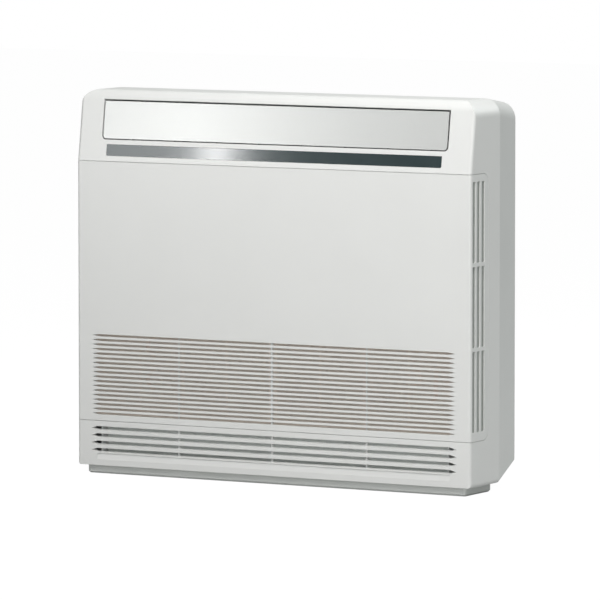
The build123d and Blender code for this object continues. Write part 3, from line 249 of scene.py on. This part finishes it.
def printed_board(name, color):
    """Circuit board: solder mask with darker tracks and bright pads."""
    finish = Finish(name, color, 0.35, Coat_Weight=0.3)
    tracks_per_metre = 60
    pads_per_metre = 260
    pad_radius = 0.18
    solder = (0.55, 0.53, 0.45)
    tracks = finish.node(
        "ShaderNodeTexBrick",
        {"offset": 0.35},
        {
            "Vector": finish.place(),
            "Scale": tracks_per_metre,
            "Mortar Size": 0.06,
            "Color1": (*color, 1),
            "Color2": (*(part * 1.3 for part in color), 1),
            "Mortar": (color[0] * 0.5, color[1] * 0.55, color[2] * 0.5, 1),
        },
    )
    pads = finish.node(
        "ShaderNodeTexVoronoi",
        {"feature": "F1"},
        {"Vector": finish.place(), "Scale": pads_per_metre},
    )
    pad = pads < pad_radius
    finish.feed("Base Color", finish.mix(pad, tracks, solder))
    finish.feed("Metallic", pad * 0.8)
    finish.feed("Roughness", 0.45 - pad * 0.15)
    return finish


finishes = {
    "case": case_plastic("case_white", (0.80, 0.806, 0.792), 0.42, 0.0007),
    "link": case_plastic("link_white", (0.72, 0.73, 0.71), 0.4, 0.0007),
    "plinth": case_plastic("plinth_grey", (0.68, 0.70, 0.68), 0.5, 0.0007),
    "damper": case_plastic("damper_grey", (0.80, 0.83, 0.81), 0.5, 0.0007),
    "duct": inner_plastic("duct_grey", (0.68, 0.695, 0.68)),
    "fan": inner_plastic("fan_white", (0.62, 0.63, 0.62), 0.4),
    "vane": inner_plastic("vane_grey", (0.16, 0.165, 0.17), 0.45),
    "frame": inner_plastic("filter_frame_beige", (0.84, 0.75, 0.67), 0.6),
    "side_net": inner_plastic("side_filter_grey", (0.46, 0.485, 0.46), 0.6),
    "pan": inner_plastic("pan_white", (0.70, 0.71, 0.70), 0.6),
    "terminal": inner_plastic("terminal_black", (0.03, 0.03, 0.033), 0.4),
    "flap": flap_paint(),
    "strip": strip_gloss(),
    "thread": net_thread(),
    "motor": sheet_metal("motor_can", (0.42, 0.43, 0.45), 0.4, 0.8),
    "plate": sheet_metal("galvanised", (0.66, 0.67, 0.69)),
    "fins": sheet_metal("fin_aluminium", (0.72, 0.75, 0.78), 0.3),
    "steel": drawn_metal("zinc_steel", (0.62, 0.62, 0.63), 0.3),
    "copper": drawn_metal("drawn_copper", (0.75, 0.36, 0.22)),
    "brass": drawn_metal("turned_brass", (0.72, 0.52, 0.22), 0.22),
    "board": printed_board("board_green", (0.03, 0.16, 0.07)),
}

wearing = {
    "case": ["cabinet", "front_panel"],
    "link": ["vane_link"],
    "damper": ["lower_damper"],
    "duct": [
        "upper_duct",
        "lower_duct",
        "fan_casing",
        "orifice_plate",
        "bell_mouth",
        "back_frame",
    ],
    "fan": ["turbo_fan", "fan_shroud"],
    "vane": [f"vane_{number}" for number in range(1, 9)],
    "frame": ["filter_frame_left", "filter_frame_right"],
    "side_net": ["side_filter_left", "side_filter_right"],
    "plinth": ["base"],
    "pan": ["drain_pan"],
    "terminal": ["terminal_block"],
    "flap": ["upper_flap"],
    "strip": ["display_window"],
    "thread": ["filter_mesh_left", "filter_mesh_right"],
    "motor": ["fan_motor", "vane_motor", "flap_motor", "damper_motor"],
    "plate": [
        "coil_plate_left",
        "coil_plate_right",
        "wall_plate",
        "control_box",
        "control_cover",
    ],
    "fins": ["coil_fins"],
    "steel": ["motor_shaft", "fan_nut", "casing_screws", "motor_screws", "cover_screws"],
    "copper": ["coil_tube", "gas_pipe", "liquid_pipe"],
    "brass": ["gas_flare_nut", "liquid_flare_nut"],
    "board": ["control_board", "display_board"],
}
for finish_name, names in wearing.items():
    for name in names:
        nodes[name].data.materials.clear()
        nodes[name].data.materials.append(finishes[finish_name].material)


def new_piece(name, points, faces, finish_name, body):
    """A mesh piece from its points and faces, finished and riding on a body."""
    mesh = bpy.data.meshes.new(name)
    mesh.from_pydata(points.reshape(-1, 3).tolist(), [], faces.tolist())
    mesh.materials.append(finishes[finish_name].material)
    piece = bpy.data.objects.new(name, mesh)
    bpy.context.scene.collection.objects.link(piece)
    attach(piece, body)
    return piece


def copies(faces, step, count):
    """The faces of count copies of one shape whose copies are step points apart."""
    return (faces[None] + step * np.arange(count)[:, None, None]).reshape(-1, faces.shape[1])


def bars(lows, highs):
    """Square bars between pairs of corners: eight points and six faces each."""
    pick = np.array([[i, j, k] for i in (0, 1) for j in (0, 1) for k in (0, 1)])
    points = np.where(pick[None], highs[:, None], lows[:, None])
    faces = np.array([
        [0, 1, 3, 2], [4, 6, 7, 5], [0, 4, 5, 1], [2, 3, 7, 6], [0, 2, 6, 4], [1, 5, 7, 3],
    ])
    return points, copies(faces, 8, len(lows))


def woven_net(side):
    """Filter net of one side in place of its plain sheet.

    Upright threads lie in front and level ones behind them, both at the same
    pitch, each thread a square bar as long as the sheet.
    """
    node = f"filter_mesh_{side}"
    low, high = (np.array(corner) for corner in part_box(node))
    pitch, thread = 0.00125, 0.00052
    layer = (high[1] - low[1]) / 2
    across = np.arange(low[0], high[0] - thread, pitch)
    up = np.arange(low[2], high[2] - thread, pitch)
    lows = np.concatenate([
        np.stack([across, np.full_like(across, low[1]), np.full_like(across, low[2])], 1),
        np.stack([np.full_like(up, low[0]), np.full_like(up, low[1] + layer), up], 1),
    ])
    highs = np.concatenate([
        np.stack([across + thread, np.full_like(across, low[1] + layer),
                  np.full_like(across, high[2])], 1),
        np.stack([np.full_like(up, high[0]), np.full_like(up, high[1]), up + thread], 1),
    ])
    points, faces = bars(lows, highs)
    net = new_piece(f"net_{side}", points, faces, "thread", f"filter_{side}")
    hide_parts(node)


def fin_pack():
    """Heat exchanger fins in place of the grooved block.

    Each fin is a thin closed plate. Its section runs from front to back as
    x = a sin(2 pi n u), with u from 0 to 1 over the depth and n waves, once on
    each side of the plate, and it is drawn straight up to the full height.
    """
    low, high = (np.array(corner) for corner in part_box("coil_fins"))
    pitch, wall, swing = 0.0018, 0.00022, 0.00045
    waves, steps = 3, 19
    end_gap = 0.001
    u = np.linspace(0, 1, steps)
    middle = swing * np.sin(2 * np.pi * waves * u)
    section_x = np.concatenate([middle - wall / 2, (middle + wall / 2)[::-1]])
    section_y = low[1] + (high[1] - low[1]) * np.concatenate([u, u[::-1]])
    section = np.stack([section_x, section_y, np.zeros_like(section_x)], 1)
    plate = np.stack([section + [0, 0, low[2]], section + [0, 0, high[2]]])
    places = np.arange(low[0] + end_gap, high[0] - end_gap, pitch)
    points = plate[None] + np.stack(
        [places, np.zeros_like(places), np.zeros_like(places)], 1
    )[:, None, None]
    ring = 2 * steps
    i = np.arange(ring)
    j = (i + 1) % ring
    walls = np.stack([i + ring, j + ring, j, i], 1)
    k = np.arange(steps - 1)
    floor_caps = np.stack([k + 1, ring - 2 - k, ring - 1 - k, k], 1)
    roof_caps = floor_caps[:, ::-1] + ring
    faces = copies(np.concatenate([walls, floor_caps, roof_caps]), 2 * ring, len(places))
    fins = new_piece("fin_pack", points, faces, "fins", "housing")
    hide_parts("coil_fins")


for side in ("left", "right"):
    woven_net(side)
fin_pack()


def flat_floor():
    """Square floor that reaches equally far to all sides of the object."""
    reach = 12.0
    corners = np.array([[-1, -1, 0], [1, -1, 0], [1, 1, 0], [-1, 1, 0]]) * reach
    mesh = bpy.data.meshes.new("floor")
    mesh.from_pydata(corners.tolist(), [], [(0, 1, 2, 3)])
    floor = bpy.data.objects.new("floor", mesh)
    bpy.context.scene.collection.objects.link(floor)
    return floor


def pale_floor():
    """Pale floor that the camera sees as white, with a faint shadow."""
    glow_share = 0.9
    glow_strength = 1.09
    finish = Finish("pale_floor", (0.53, 0.53, 0.53), 0.9, Specular_IOR_Level=0.1)
    path = finish.node("ShaderNodeLightPath", output="Is Camera Ray")
    glow = finish.node("ShaderNodeEmission", {}, {"Color": (1, 1, 1, 1), "Strength": glow_strength})
    both = finish.node("ShaderNodeMixShader", {}, {0: path * glow_share, 2: glow})
    finish.tree.links.new(finish.shader.outputs[0], both.socket.node.inputs[1])
    finish.tree.links.new(both.socket, finish.output.inputs["Surface"])
    return finish.material


floor = flat_floor()
floor.data.materials.append(pale_floor())


def studio_sky():
    """Even pale sky that the camera sees as white."""
    world = bpy.data.worlds.new("studio")
    bpy.context.scene.world = world
    world.use_nodes = True
    tree = world.node_tree
    sky = tree.nodes["Background"]
    sky.inputs["Color"].default_value = (0.95, 1.0, 0.985, 1)
    sky.inputs["Strength"].default_value = 0.17
    white = tree.nodes.new("ShaderNodeBackground")
    white.inputs["Color"].default_value = (1, 1, 1, 1)
    white.inputs["Strength"].default_value = 1.0
    path = tree.nodes.new("ShaderNodeLightPath")
    both = tree.nodes.new("ShaderNodeMixShader")
    tree.links.new(path.outputs["Is Camera Ray"], both.inputs[0])
    tree.links.new(sky.outputs[0], both.inputs[1])
    tree.links.new(white.outputs[0], both.inputs[2])
    tree.links.new(both.outputs[0], tree.nodes["World Output"].inputs["Surface"])


studio_sky()


def lamp(name, place, aim, size, power, color=(1, 1, 1), card=False):
    """Soft rectangular lamp at place that faces aim; a card only shows in gloss."""
    light = bpy.data.lights.new(name, "AREA")
    light.shape = "RECTANGLE"
    light.size, light.size_y = size
    light.energy = power
    light.color = color
    holder = bpy.data.objects.new(name, light)
    bpy.context.scene.collection.objects.link(holder)
    way = np.array(aim) - np.array(place)
    yaw = math.atan2(way[1], way[0]) - math.pi / 2
    pitch = math.atan2(way[2], math.hypot(way[0], way[1]))
    holder.location = place
    holder.rotation_euler = (math.pi / 2 + pitch, 0, yaw)
    holder.visible_camera = False
    holder.visible_diffuse = not card


lamp("key", place=(0.5, -1.5, 1.9), aim=(0, 0, 0.35), size=(1.6, 1.2), power=30,
     color=(1.0, 0.99, 0.98))
lamp("front", place=(1.5, -3.0, 0.95), aim=(0, 0, 0.3), size=(1.6, 1.6), power=24)
lamp("top", place=(0.2, 0.2, 2.6), aim=(0, 0, 0.4), size=(1.8, 1.2), power=18)
lamp("side", place=(1.7, 2.2, 1.9), aim=(0.3, 0, 0.3), size=(1.4, 1.4), power=31,
     color=(0.96, 1.0, 0.99))
lamp("strip_card", place=(-0.72, -1.13, 0.72), aim=(-0.12, -0.1, 0.53), size=(0.05, 0.7), power=2.9,
     card=True)
lamp("flap_card", place=(-0.95, -1.04, 0.72), aim=(-0.28, -0.1, 0.55), size=(0.36, 0.9), power=3.1,
     card=True)


def photo_camera():
    """Camera fitted to the seams and slots of the front face."""
    photo_px = 600
    focal_px = 6589.0
    sensor_mm = 36
    reach = 10.541
    far_clip = 60
    yaw = math.radians(29.69)
    pitch = math.radians(4.93)
    aim = np.array([-0.0035, 0.0, 0.2875])
    way = np.array([
        -math.sin(yaw) * math.cos(pitch),
        math.cos(yaw) * math.cos(pitch),
        -math.sin(pitch),
    ])
    data = bpy.data.cameras.new("camera")
    data.sensor_width = sensor_mm
    data.lens = sensor_mm * focal_px / photo_px
    data.clip_end = far_clip
    camera = bpy.data.objects.new("camera", data)
    bpy.context.scene.collection.objects.link(camera)
    camera.location = aim - reach * way
    camera.rotation_euler = (math.pi / 2 - pitch, 0, yaw)
    bpy.context.scene.camera = camera


photo_camera()
bpy.context.scene.view_settings.view_transform = "Standard"
